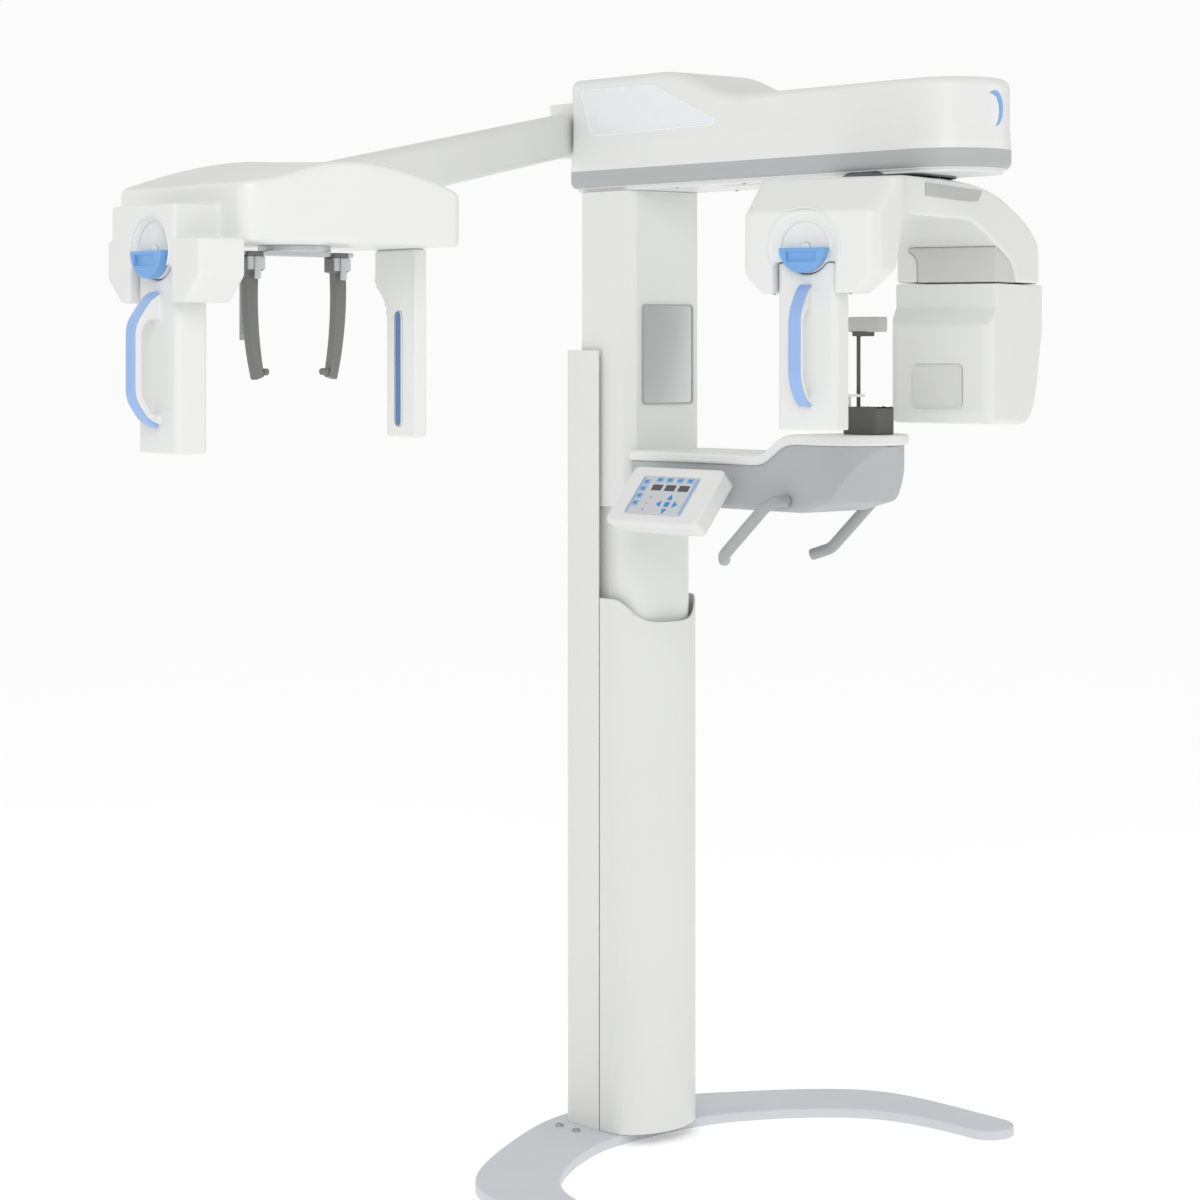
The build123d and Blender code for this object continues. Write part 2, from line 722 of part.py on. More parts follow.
def arm_plan():
    """Plan of the upper arm: broad at the sensor, narrower at the tube."""
    end, bend = 516, 46
    return make_face([
        Line((HUB_FACE, -140), (HUB_FACE, 133)),
        Line((HUB_FACE, 133), (-330, 133)),
        Spline((-330, 133), (-220, 118), (-120, ARM_PLUS), tangents=[(1, 0), (1, 0)]),
        Line((-120, ARM_PLUS), (end - bend, ARM_PLUS)),
        TangentArc((end - bend, ARM_PLUS), (end, ARM_PLUS - bend), tangent=(1, 0)),
        Line((end, ARM_PLUS - bend), (end, ARM_MINUS + bend)),
        TangentArc((end, ARM_MINUS + bend), (end - bend, ARM_MINUS), tangent=(0, -1)),
        Line((end - bend, ARM_MINUS), (-120, ARM_MINUS)),
        Spline((-120, ARM_MINUS), (-220, -114), (-330, -140), tangents=[(-1, 0), (-1, 0)]),
        Line((-330, -140), (HUB_FACE, -140)),
    ])


def hub_outline():
    """End view of the sensor's hub, across and up: chamfered lower corners."""
    corner = HUB_FOOT + 42
    return polygon(
        (-140, 2010), (-140, corner), (-98, HUB_FOOT), (92, HUB_FOOT), (133, corner), (133, 2010),
    )


def latch_dish(radius, depth):
    """Shallow round dish the latch turns in, wider at the mouth."""
    cone = Cone(radius, LATCH_R + 2, depth)
    return Pos(-14 + depth / 2, 0, 0) * Rot(0, 90, 0) * cone


def box_slot():
    """Room for the sensor's head, with the tongue behind the latch left standing."""
    gap = 1.5
    slot = block((-20, BOX_DEPTH + 2), (-BOX_HALF - gap, BOX_HALF + gap), (-120, BOX_HEAD + gap))
    tongue = Rot(0, 90, 0) * Cylinder(LATCH_R + 1, 400)
    pivot = bar((-20, 0, 0), (8, 0, 0), PIVOT_R + RUNNING_GAP)
    return slot - tongue + pivot


def on_hub_corner(edge):
    """True on the upright corners at the sensor end of the upper arm."""
    centre = edge.center()
    return centre.X < -370 and abs(centre.Y) > 125 and 1830 < centre.Z < 1990


def arm_cover():
    """White upper housing: sensor hub, arch and the shoulder over the tube."""
    body = across_y(arm_side(), -WIDE, WIDE) & upright(arm_plan(), 1700, 2050)
    ends = Plane.YZ.offset(-450) * hub_outline()
    body &= extrude(ends, 1000) + block((-300, 600), (-160, 160), (1700, 2050))
    body = fillet(body.edges().filter_by(on_hub_corner), 24)
    body -= arm_core()
    at_latch = Pos(BOX_FACE, LATCH_ACROSS, LATCH_Z)
    body -= at_latch * latch_dish(72, 10)
    body -= at_latch * box_slot()
    return ARM_PLACE * (body + (under_shoulder() & flange_side()))


def under_shoulder():
    """Space below the shoulder's inner curve, above the tube cover."""
    space = block((250, 360), (ARM_MINUS + 2, ARM_PLUS), (TUBE_SEAM, ARCH_UNDER))
    return space - across_y(arm_side(), -WIDE, WIDE)


def flange_side():
    """Region of the housing's inner flange, bounded by an S-curve."""
    outline = make_face([
        Line((130, TUBE_SEAM - 10), (69, TUBE_SEAM - 10)),
        Line((69, TUBE_SEAM - 10), (69, 1845)),
        Bezier((69, 1845), (69, 1872), (92, 1862), (92, 1890)),
        Line((92, 1890), (92, 1930)),
        Line((92, 1930), (130, 1930)),
        Line((130, 1930), (130, TUBE_SEAM - 10)),
    ])
    return across_x(outline, 200, 400)


def arch_liner():
    """Grey inner cover under the shoulder."""
    return ARM_PLACE * (under_shoulder() - flange_side())


def tube_side():
    """Side view of the tube's lower cover."""
    back = Spline((388, 1519), (450, 1554), (491, 1676), (516, TUBE_SEAM - 2),
                  tangents=[(1, 0.1), (0.1, 1)])
    return make_face([
        back,
        Line((516, TUBE_SEAM - 2), (250, TUBE_SEAM - 2)),
        Line((250, TUBE_SEAM - 2), (250, 1758)),
        Line((250, 1758), (TUBE_FRONT, 1720)),
        Line((TUBE_FRONT, 1720), (TUBE_FRONT, 1545)),
        Line((TUBE_FRONT, 1545), (232, 1524)),
        Line((232, 1524), (388, 1519)),
    ])


def tube_plan():
    near, far = ARM_MINUS, ARM_PLUS + 2
    return rounded([(TUBE_FRONT, near), (516, near), (516, far), (TUBE_FRONT, far)], 22)


def window_outline(inset):
    return rounded(
        [
            (-42 + inset, 1556 + inset), (62 - inset, 1556 + inset),
            (62 - inset, 1641 - inset), (-42 + inset, 1641 - inset),
        ],
        9,
    )


def tube_cover():
    """White lower cover round the X-ray source."""
    body = across_y(tube_side(), -WIDE, WIDE) & upright(tube_plan(), 1500, 1900)
    body = fillet(body.edges().filter_by(lambda edge: edge.center().Z < 1545), 10)
    body -= block((TUBE_FRONT + 6, 440), (-96, 105), (1570, 1700))
    body -= block((258, 470), (-96, 105), (1690, TUBE_SEAM))
    body -= extrude(Plane.YZ.offset(TUBE_FRONT - 1) * window_outline(-0.3), 20)
    return ARM_PLACE * body


def tube_window():
    return ARM_PLACE * extrude(Plane.YZ.offset(TUBE_FRONT - 0.5) * window_outline(0), 4)


def xray_source():
    """Oil-filled source block and the slit collimator in front of it."""
    source = block((290, 430), (-75, 85), (1575, 1780))
    source = fillet(source.edges().filter_by(Axis.Z), 8)
    collimator = block((232, 290), (-30, 50), (1580, 1640))
    collimator -= block((231, 291), (7, 13), (1590, 1630))
    return ARM_PLACE * (source + collimator)


# ----------------------------------------- image sensors, shared by both ends
def latch():
    """Half-round latch with a finger groove."""
    half = Circle(LATCH_R) & Pos(0, -LATCH_R) * Rectangle(2 * LATCH_R, 2 * LATCH_R)
    face = Plane(origin=(-4.3, 0, 0), x_dir=(0, -1, 0), z_dir=(-1, 0, 0))
    knob = extrude(face * half, 20)
    knob = fillet(knob.faces().sort_by(Axis.X)[0].edges(), 4)
    groove = bar((-30, -30, -16), (-30, 30, -16), 11)
    pivot = bar((-4.3, 0, 0), (6, 0, 0), PIVOT_R)
    return knob - groove + pivot


def handle_outline(grow):
    """Bow of the handle in side view, with wide bends outside."""
    shape = polygon((30, -66), (-12, -71), (-48, -122), (-48, -242), (-16, -287), (30, -287))
    shape = fillet(shape.vertices().filter_by(lambda corner: corner.X < 0), 48)
    return offset(shape, grow)


def handle_hole():
    return rounded([(30, -112), (-20, -112), (-34, -130), (-34, -238), (-12, -270), (30, -270)], 20)


def sensor_case():
    """Flat box with a carrying handle; its top is notched round the latch."""
    box = block((0, BOX_DEPTH), (-BOX_HALF, BOX_HALF), (BOX_FOOT, BOX_HEAD))
    box = fillet(box.edges().filter_by(Axis.Z), 12)
    box -= Rot(0, 90, 0) * Cylinder(LATCH_R + 2.5, 400)
    box -= block((SKIN, BOX_DEPTH - SKIN), (-BOX_HALF + SKIN, BOX_HALF - SKIN), (BOX_FOOT + SKIN, -80))
    grip = across_y(handle_outline(0) - handle_hole(), -11, 11)
    return box + (grip & block((-80, 0), (-20, 20), (-320, -40)))


def handle_strip():
    """Coloured strip along the outside of the handle."""
    strip = across_y(handle_outline(5) - handle_outline(0), -12, 12)
    return strip & block((-80, -3), (-20, 20), (-320, -40))


def detector():
    """Flat detector plate inside the box."""
    return block((40, 56), (-50, 50), (-320, -90))


# ------------------------------------------------------- cephalometric arm
ARM_ROOT = (0, 182)
ARM_TIP = (-1130, -391)
ARM_HALF = 30
ARM_HEIGHT = 90


def arm_section(place, top, inset):
    """Upright cross-section of the sloping arm."""
    outline = RectangleRounded(2 * (ARM_HALF - inset), ARM_HEIGHT - 2 * inset, 14 - inset)
    run, sweep_back = ARM_TIP[0] - ARM_ROOT[0], ARM_TIP[1] - ARM_ROOT[1]
    origin = (*place, top - ARM_HEIGHT / 2)
    return Plane(origin=origin, x_dir=(-sweep_back, run, 0), z_dir=(run, sweep_back, 0)) * outline


def arm_beam(inset):
    return loft([arm_section(ARM_ROOT, 2195, inset), arm_section(ARM_TIP, 2002, inset)])


def ceph_arm():
    """Hollow sloping arm from a pod behind the gantry to the head."""
    pod = block((-70, 70), (GANTRY_REAR, 222), (2090, 2205))
    pod = fillet(pod.edges().filter_by(Axis.Z), 24)
    return arm_beam(0) + pod - arm_beam(SKIN)


def head_profile(points):
    """Face of the head: flat foot, soft roof."""
    left, right = points[0], points[-1]
    foot_left, foot_right = (left[0], HEAD_FOOT), (right[0], HEAD_FOOT)
    return make_face([
        Line(foot_left, left),
        Spline(*points),
        Line(right, foot_right),
        Line(foot_right, foot_left),
    ])


def ceph_head():
    """Head box with a roof that climbs towards the arm, and the sensor's hub."""
    front = [(-1500, 1949), (-1440, 1957), (-1330, 1984), (-1175, 1976), (-1045, 1939)]
    rear = [(-1500, 1946), (-1420, 1972), (-1300, 2000), (-1150, 2004), (-1045, 1950)]
    box = loft([
        Plane.XZ.offset(730) * head_profile(front),
        Plane.XZ.offset(330) * head_profile(rear),
    ])
    box = fillet(box.edges().filter_by(Axis.Z), 30)
    box = fillet(box.edges().filter_by(lambda edge: edge.center().Z > 1935), 9)
    box = fillet(box.edges().filter_by(lambda edge: edge.center().Z < HEAD_FOOT + 2), 8)
    hollow = block((-1480, -1065), (-710, -350), (HEAD_FOOT + SKIN, 1934))
    return box - hollow - arm_beam(0) + CEPH_LATCH * ceph_hub()


def ceph_hub():
    """Stepped hub on the end of the head, in latch coordinates."""
    lobe = polygon((-147, -44), (-105, -86), (89, -86), (131, -44), (131, 19), (-147, 19))
    neck = polygon((-73, 19), (118, 19), (118, 76), (-73, 76))
    hub = extrude(Plane.YZ.offset(-14) * (lobe + neck), 88)
    return hub - latch_dish(56, 10) - box_slot()


def slit_housing():
    """Post with the second collimator at the inner end of the head."""
    post = block((-1075, -1047), (CEPH_Y - 42, CEPH_Y + 42), (1520, HEAD_FOOT))
    step = make_face([
        Line((CEPH_Y, HEAD_FOOT), (CEPH_Y + 77, HEAD_FOOT)),
        Line((CEPH_Y + 77, HEAD_FOOT), (CEPH_Y + 77, 1798)),
        Bezier((CEPH_Y + 77, 1798), (CEPH_Y + 74, 1772), (CEPH_Y + 45, 1768), (CEPH_Y + 42, 1735)),
        Line((CEPH_Y + 42, 1735), (CEPH_Y, 1735)),
        Line((CEPH_Y, 1735), (CEPH_Y, HEAD_FOOT)),
    ])
    post += across_x(step, -1075, -1047)
    return post - extrude(Plane.YZ.offset(-1076) * slit_outline(0.3), 6)


def slit_outline(grow):
    return Pos(CEPH_Y + 6, 1640) * Rot(0, 0, 90) * SlotOverall(200 + 2 * grow, 17 + 2 * grow)


def slit_blade():
    return extrude(Plane.YZ.offset(-1074) * slit_outline(0), 4)


def ear_turntable():
    """Turning disc under the head with the rail the ear rods slide on."""
    disc = Pos(CEPH_X, CEPH_Y, HEAD_FOOT - 5) * Cylinder(62, 10)
    rail = block((CEPH_X - 118, CEPH_X + 118), (CEPH_Y - 9, CEPH_Y + 9), (1832, 1840))
    stub = block((CEPH_X - 50, CEPH_X - 30), (CEPH_Y, CEPH_Y + 108), (1834, 1840))
    return disc + rail + stub


def ear_arm(side):
    """Bracket on the rail, curved dark arm and the ear plug; side is -1 or 1."""
    centre = CEPH_X + side * 88
    shoe = block((centre - 15, centre + 15), (CEPH_Y - 17, CEPH_Y + 17), (1806, 1839.5))
    shoe -= block((centre - 16, centre + 16), (CEPH_Y - 9.3, CEPH_Y + 9.3), (1831.5, 1847))
    outer = Spline((side * 103, 1806), (side * 101, 1720), (side * 84, 1622))
    inner = Spline((side * 66, 1628), (side * 78, 1720), (side * 78, 1806))
    blade = make_face([
        outer,
        Line((side * 84, 1622), (side * 66, 1628)),
        inner,
        Line((side * 78, 1806), (side * 103, 1806)),
    ])
    arm = Pos(CEPH_X, 0, 0) * across_y(blade, CEPH_Y - 9, CEPH_Y + 9)
    plug = bar((CEPH_X + side * 72, CEPH_Y, 1636), (CEPH_X + side * 54, CEPH_Y, 1636), 6)
    return shoe + arm + plug


def nasion_rest():
    """Hanging rod with the small cross piece for the bridge of the nose."""
    x, y = CEPH_X - 40, CEPH_Y + 100
    rod = bar((x, y, 1690), (x, y, 1833), 4)
    tip = bar((x, y, 1696), (x, y - 22, 1696), 3)
    cushion = bar((x - 14, y - 22, 1696), (x + 14, y - 22, 1696), 5)
    return rod + tip + cushion


NODES = {
    "base_plate": base_plate,
    "post_cover": post_cover,
    "front_cover": front_cover,
    "mast": mast,
    "lift_rails": lift_rails,
    "lift_motor": lift_motor,
    "lead_screw": lead_screw,
    "lift_carriage": lift_carriage,
    "inner_column": inner_column,
    "upper_shell": upper_shell,
    "mirror_frame": mirror_frame,
    "mirror_glass": mirror_glass,
    "tray_top": tray_top,
    "tray_body": tray_body,
    "grab_handles": grab_handles,
    "chin_block": chin_block,
    "head_support": head_support,
    "bite_post": bite_post,
    "panel_housing": panel_housing,
    "panel_film": panel_film,
    "panel_displays": panel_displays,
    "gantry_cover": gantry_cover,
    "side_insets": side_insets,
    "nose_badge": nose_badge,
    "gantry_trim": gantry_trim,
    "gantry_floor": gantry_floor,
    "gantry_frame": gantry_frame,
    "stage_y": stage_y,
    "stage_x": stage_x,
    "rotation_motor": rotation_motor,
    "motor_pulley": motor_pulley,
    "drive_belt": drive_belt,
    "rotor_shaft": rotor_shaft,
    "arm_frame": arm_frame,
    "arm_cover": arm_cover,
    "arch_liner": arch_liner,
    "tube_cover": tube_cover,
    "tube_window": tube_window,
    "xray_source": xray_source,
    "pano_latch": lambda: PANO_LATCH * latch(),
    "pano_sensor": lambda: PANO_LATCH * sensor_case(),
    "pano_grip": lambda: PANO_LATCH * handle_strip(),
    "pano_detector": lambda: PANO_LATCH * detector(),
    "ceph_arm": ceph_arm,
    "ceph_head": ceph_head,
    "ceph_latch": lambda: CEPH_LATCH * latch(),
    "ceph_sensor": lambda: CEPH_LATCH * sensor_case(),
    "ceph_grip": lambda: CEPH_LATCH * handle_strip(),
    "ceph_detector": lambda: CEPH_LATCH * detector(),
    "slit_housing": slit_housing,
    "slit_blade": slit_blade,
    "ear_turntable": ear_turntable,
    "ear_arm_left": lambda: ear_arm(-1),
    "ear_arm_right": lambda: ear_arm(1),
    "nasion_rest": nasion_rest,
}
for key_name in KEY_NAMES:
    NODES["key_" + key_name] = lambda key_name=key_name: key(key_name)

for node, build in NODES.items():
    shape = build()
    if isinstance(shape, list):
        shape = Compound(children=shape)
    export_step(shape, f"parts/{node}.step")
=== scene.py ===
import bmesh
import bpy
import json
from math import atan2, cos, pi, radians, sin
from mathutils import Matrix, Vector


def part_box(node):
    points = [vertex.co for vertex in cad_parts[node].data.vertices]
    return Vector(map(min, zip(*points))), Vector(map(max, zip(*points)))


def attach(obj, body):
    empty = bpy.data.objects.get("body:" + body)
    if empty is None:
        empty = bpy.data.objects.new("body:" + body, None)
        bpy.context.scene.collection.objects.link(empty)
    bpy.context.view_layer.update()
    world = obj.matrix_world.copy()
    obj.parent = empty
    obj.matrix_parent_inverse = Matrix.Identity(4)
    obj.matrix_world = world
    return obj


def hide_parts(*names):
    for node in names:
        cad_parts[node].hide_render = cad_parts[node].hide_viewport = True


# Looks of the panoramic X-ray unit, in metres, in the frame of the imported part.

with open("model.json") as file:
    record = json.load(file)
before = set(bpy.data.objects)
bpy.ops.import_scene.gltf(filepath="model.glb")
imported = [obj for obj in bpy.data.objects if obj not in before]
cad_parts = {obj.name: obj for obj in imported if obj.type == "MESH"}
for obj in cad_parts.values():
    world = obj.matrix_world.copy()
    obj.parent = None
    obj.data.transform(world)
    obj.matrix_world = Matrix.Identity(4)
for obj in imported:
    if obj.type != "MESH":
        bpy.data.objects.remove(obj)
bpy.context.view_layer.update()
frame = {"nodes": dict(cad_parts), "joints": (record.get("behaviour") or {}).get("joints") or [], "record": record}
NODES = frame["nodes"]

UP, DOWN = Vector((0, 0, 1)), Vector((0, 0, -1))
LEFT, RIGHT = Vector((-1, 0, 0)), Vector((1, 0, 0))
FRONT, REAR = Vector((0, -1, 0)), Vector((0, 1, 0))


# ---------------------------------------------------------------- materials
WORN = (0.52, 0.62)         # pointiness where the wear of an edge starts, and where it is full


def srgb(red, green, blue):
    """Linear colour from screen values of 0 to 255."""
    return tuple((c / 255 / 12.92) if c < 10 else ((c / 255 + 0.055) / 1.055) ** 2.4
                 for c in (red, green, blue))


class Shader:
    """Node tree of one procedural material, with short ways to add what it needs."""

    def __init__(self, name, colour, roughness, metallic=0.0):
        self.material = bpy.data.materials.new(name)
        self.material.use_nodes = True
        self.tree = self.material.node_tree
        self.surface = self.tree.nodes["Principled BSDF"]
        self.surface.inputs["Base Color"].default_value = (*colour, 1)
        self.surface.inputs["Roughness"].default_value = roughness
        self.surface.inputs["Metallic"].default_value = metallic
        self.colour = colour
        self.place = self.node("ShaderNodeTexCoord").outputs["Object"]
        self.height = None

    def node(self, kind):
        return self.tree.nodes.new(kind)

    def link(self, source, target):
        self.tree.links.new(source, target)

    def noise(self, scale, detail=3.0, stretch=(1, 1, 1)):
        """Noise of about 1/scale metres, stretched along an axis by a low factor."""
        mapping = self.node("ShaderNodeMapping")
        mapping.inputs["Scale"].default_value = stretch
        self.link(self.place, mapping.inputs["Vector"])
        noise = self.node("ShaderNodeTexNoise")
        noise.inputs["Scale"].default_value = scale
        noise.inputs["Detail"].default_value = detail
        self.link(mapping.outputs["Vector"], noise.inputs["Vector"])
        return noise.outputs["Fac"]

    def ramp(self, value, low, high, start=0.3, end=0.7):
        """Value remapped from start..end to low..high."""
        ranged = self.node("ShaderNodeMapRange")
        limits = {"From Min": start, "From Max": end, "To Min": low, "To Max": high}
        for name, number in limits.items():
            ranged.inputs[name].default_value = number
        self.link(value, ranged.inputs["Value"])
        return ranged.outputs["Result"]

    def tint(self, factor, colour):
        """Mixes the base colour towards another by a factor."""
        mix = self.node("ShaderNodeMix")
        mix.data_type = "RGBA"
        mix.inputs["A"].default_value = (*self.colour, 1)
        mix.inputs["B"].default_value = (*colour, 1)
        previous = self.surface.inputs["Base Color"].links
        if previous:
            self.link(previous[0].from_socket, mix.inputs["A"])
        self.link(factor, mix.inputs["Factor"])
        self.link(mix.outputs["Result"], self.surface.inputs["Base Color"])

    def rough(self, value, low, high):
        self.link(self.ramp(value, low, high), self.surface.inputs["Roughness"])

    def bump(self, value, distance, strength=1.0):
        bump = self.node("ShaderNodeBump")
        bump.inputs["Distance"].default_value = distance
        bump.inputs["Strength"].default_value = strength
        self.link(value, bump.inputs["Height"])
        if self.height:
            self.link(self.height, bump.inputs["Normal"])
        self.height = bump.outputs["Normal"]
        self.link(self.height, self.surface.inputs["Normal"])

    def edges(self, colour, amount):
        """Light wear where the surface is strongly convex."""
        pointiness = self.node("ShaderNodeNewGeometry").outputs["Pointiness"]
        self.tint(self.ramp(pointiness, 0, amount, *WORN), colour)


def lighter(colour, factor):
    """Colour brightened by a factor above 1, or darkened by one below."""
    return tuple(min(1.0, c * factor) for c in colour)


def moulding(name, colour, roughness, grain=900, depth=0.00005, coat=0.0, worn=True):
    """Moulded plastic: fine grain, uneven sheen, and edges worn lighter if asked."""
    shader = Shader(name, colour, roughness)
    fine = shader.noise(grain, 2)
    broad = shader.noise(7, 4)
    shader.rough(broad, roughness * 0.82, roughness * 1.2)
    shader.tint(shader.ramp(broad, 0, 0.35), lighter(colour, 0.95))
    if worn:
        shader.edges(lighter(colour, 1.12), 0.35)
    shader.bump(fine, depth, 0.35)
    shader.surface.inputs["Coat Weight"].default_value = coat
    shader.surface.inputs["Coat Roughness"].default_value = 0.25
    return shader.material


def enamel(name, colour, roughness, depth=0.00012):
    """Powder coat on steel: orange peel, a slight drift of tone, worn edges."""
    shader = Shader(name, colour, roughness)
    peel = shader.noise(420, 2)
    drift = shader.noise(3, 3)
    shader.rough(shader.noise(11, 4), roughness * 0.85, roughness * 1.25)
    shader.tint(shader.ramp(drift, 0, 0.5), lighter(colour, 0.955))
    shader.edges(lighter(colour, 1.1), 0.4)
    shader.bump(peel, depth, 0.3)
    return shader.material


def metal(name, colour, roughness, stretch):
    """Brushed or ground metal with lines along one axis."""
    shader = Shader(name, colour, roughness, 1.0)
    lines = shader.noise(900, 3, stretch)
    shader.rough(lines, roughness * 0.7, roughness * 1.4)
    shader.tint(shader.ramp(shader.noise(14, 4), 0, 0.4), lighter(colour, 0.8))
    shader.bump(lines, 0.00003, 0.3)
    return shader.material


def mirror_material():
    """Silvered glass with faint wiping marks."""
    shader = Shader("mirror", srgb(206, 208, 208), 0.2, 1.0)
    wipes = shader.noise(9, 5, (1, 1, 0.25))
    shader.rough(wipes, 0.16, 0.3)
    shader.tint(shader.ramp(wipes, 0, 0.25), srgb(186, 189, 190))
    return shader.material


def fabricated_materials():
    """Materials by the record's slot names, and some more for added details."""
    return {
        "white_skin": moulding("white_skin", srgb(232, 233, 231), 0.34, coat=0.15),
        "white_steel": enamel("white_steel", srgb(229, 230, 227), 0.42),
        "base_paint": enamel("base_paint", srgb(214, 215, 221), 0.45, 0.0002),
        "grey_trim": moulding("grey_trim", srgb(178, 182, 183), 0.5, 700, 0.00008),
        "grey_paint": enamel("grey_paint", srgb(166, 168, 169), 0.4),
        "liner_grey": moulding("liner_grey", srgb(208, 208, 205), 0.5, 700),
        "window_grey": moulding("window_grey", srgb(222, 223, 222), 0.4, 800),
        "dark_plastic": moulding("dark_plastic", srgb(84, 85, 80), 0.5, 700, 0.0001),
        "ear_plastic": moulding("ear_plastic", srgb(116, 117, 112), 0.45, 700, 0.0001),
        "blue_grip": moulding("blue_grip", srgb(152, 184, 232), 0.38, 900),
        "latch_blue": moulding("latch_blue", srgb(116, 168, 224), 0.34, 900, coat=0.2),
        "slit_blue": moulding("slit_blue", srgb(88, 130, 180), 0.4, 900),
        "key_blue": moulding("key_blue", srgb(38, 140, 214), 0.35, 900, coat=0.2),
        "film": moulding("film", srgb(204, 207, 211), 0.42, 1100),
        "film_blue": moulding("film_blue", srgb(146, 178, 214), 0.42, 1100),
        "display": moulding("display", srgb(58, 60, 62), 0.16, 1200, 0.00001, coat=0.5),
        "inset": moulding("inset", srgb(236, 237, 241), 0.26, 1200, 0.00003, coat=0.3, worn=False),
        "mirror": mirror_material(),
        "steel": metal("steel", srgb(178, 180, 182), 0.32, (1, 1, 0.05)),
        "aluminium": metal("aluminium", srgb(205, 207, 209), 0.36, (0.05, 1, 1)),
        "motor_black": enamel("motor_black", srgb(48, 49, 52), 0.45),
        "belt": moulding("belt", srgb(34, 34, 35), 0.7, 500, 0.0002),
        "lamp_green": moulding("lamp_green", srgb(96, 190, 120), 0.25, 900, coat=0.5),
        "lamp_amber": moulding("lamp_amber", srgb(226, 150, 66), 0.25, 900, coat=0.5),
        # Near white with a strong coat: a painted highlight along the edges of the gantry's side insets.
        "painted_highlight_edge": moulding("painted_highlight_edge", srgb(252, 252, 253), 0.2, 1200, 0.00001, coat=0.6),
        # shade_grey: painted shade on the arch's shoulder strip, and also the forehead pad's own light grey.
        "shade_grey": moulding("shade_grey", srgb(186, 187, 185), 0.5, 800),
        "seam": moulding("seam", srgb(96, 99, 100), 0.6, 600),
        "rubber": moulding("rubber", srgb(40, 41, 42), 0.7, 500, 0.0002),
    }


MATERIALS = fabricated_materials()

# Nodes that look different from the others of their slot.
REPAINTED = {
    "pano_latch": "latch_blue",
    "ceph_latch": "latch_blue",
    "slit_blade": "slit_blue",
    "nose_badge": "latch_blue",
    "mirror_frame": "grey_paint",
    "bite_post": "white_skin",
}


# ------------------------------------------------------ reading the frame
def body_of(node):
    """Name of the CAD body that a node rides on."""
    bodies = frame["record"]["behaviour"]["bodies"]
    return next(body for body, members in bodies.items() if node in members)


def slot_of(node):
    subparts = frame["record"]["subparts"]
    return next(row["material_slot"] for row in subparts if row["node"] == node)


def material_of(node):
    return MATERIALS[REPAINTED.get(node, slot_of(node))]


def joint(name):
    return next(row for row in frame["joints"] if row["name"] == name)


def joint_place(name):
    return Vector(joint(name)["pos_m"])


def joint_axis(name):
    return Vector(joint(name)["axis"])


def middle(node):
    low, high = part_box(node)
    return (low + high) / 2


BEAM = -joint_axis("pano_cassette_pull")        # from the panoramic sensor to the tube
PANEL_FACE = -joint_axis("key_centre_press")    # off the control panel, towards the user


def arm_place(along, across, height):
    """Point of the C-arm: along the beam from the turning axis, across it, and up."""
    origin = joint_place("arm_rotation")
    return Vector((origin.x, origin.y, 0)) + along * BEAM + across * UP.cross(BEAM) + height * UP


# ------------------------------------------------------- CAD nodes, softened
# Bevel width of each node that keeps its own mesh.
SOFT_EDGES = {
    "upper_shell": 0.0025,
    "post_cover": 0.0012,
    "front_cover": 0.0025,
    "tray_body": 0.002,
    "slit_housing": 0.006,
    "chin_block": 0.003,
    "ear_arm_left": 0.003,
    "ear_arm_right": 0.003,
    "ear_turntable": 0.0015,
    "head_support": 0.002,
    "panel_film": 0.0003,
    "slit_blade": 0.001,
    "tube_window": 0.0015,
    "grab_handles": 0.007,
}
# Cell size and smoothing rounds of each node that is shown by a re-meshed copy.
REMOULDED = {
    "arm_cover": (0.003, 14),
    "tube_cover": (0.0025, 10),
    "arch_liner": (0.003, 8),
    "ceph_head": (0.003, 14),
    "panel_housing": (0.002, 12),
    "pano_sensor": (0.002, 10),
    "ceph_sensor": (0.002, 10),
    "pano_grip": (0.0015, 6),
    "ceph_grip": (0.0015, 6),
}
# Re-meshed nodes with a dish that a latch sweeps, and the latch's joint.
SWEPT_BY_LATCH = {
    "arm_cover": "pano_lock_turn",
    "ceph_head": "ceph_lock_turn",
}
DISH_RADIUS = 0.0500
DISH_FLOOR = 0.0036         # off the pivot's own point, along its axis
DISH_MOUTH = 0.0200

FLAT_WITHIN = 0.4           # degrees between facets that belong to one flat face
SHARP_FROM = 28             # degrees between faces whose edge is bevelled
SKIN_FACES_KEPT = 0.35      # share of a re-meshed copy's faces


def paint_nodes():
    """Gives every CAD node its material."""
    for row in frame["record"]["subparts"]:
        node = row["node"]
        for place in NODES[node].material_slots:
            place.material = material_of(node)


def weld(piece):
    """Joins the doubled corners of a CAD mesh."""
    piece.modifiers.new("weld", "WELD").merge_threshold = 1e-6


def soften(node, width):
    """Rounds a CAD node's sharp edges with modifiers; its mesh stays as it is."""
    piece = NODES[node]
    weld(piece)
    flat = piece.modifiers.new("flat", "DECIMATE")
    flat.decimate_type = "DISSOLVE"
    flat.angle_limit = radians(FLAT_WITHIN)
    bevel = piece.modifiers.new("bevel", "BEVEL")
    bevel.width = width
    bevel.segments = 3
    bevel.limit_method = "ANGLE"
    bevel.angle_limit = radians(SHARP_FROM)
    bevel.use_clamp_overlap = False
    bevel.miter_outer = "MITER_ARC"
    normals = piece.modifiers.new("normals", "WEIGHTED_NORMAL")
    normals.keep_sharp = False
    normals.weight = 60


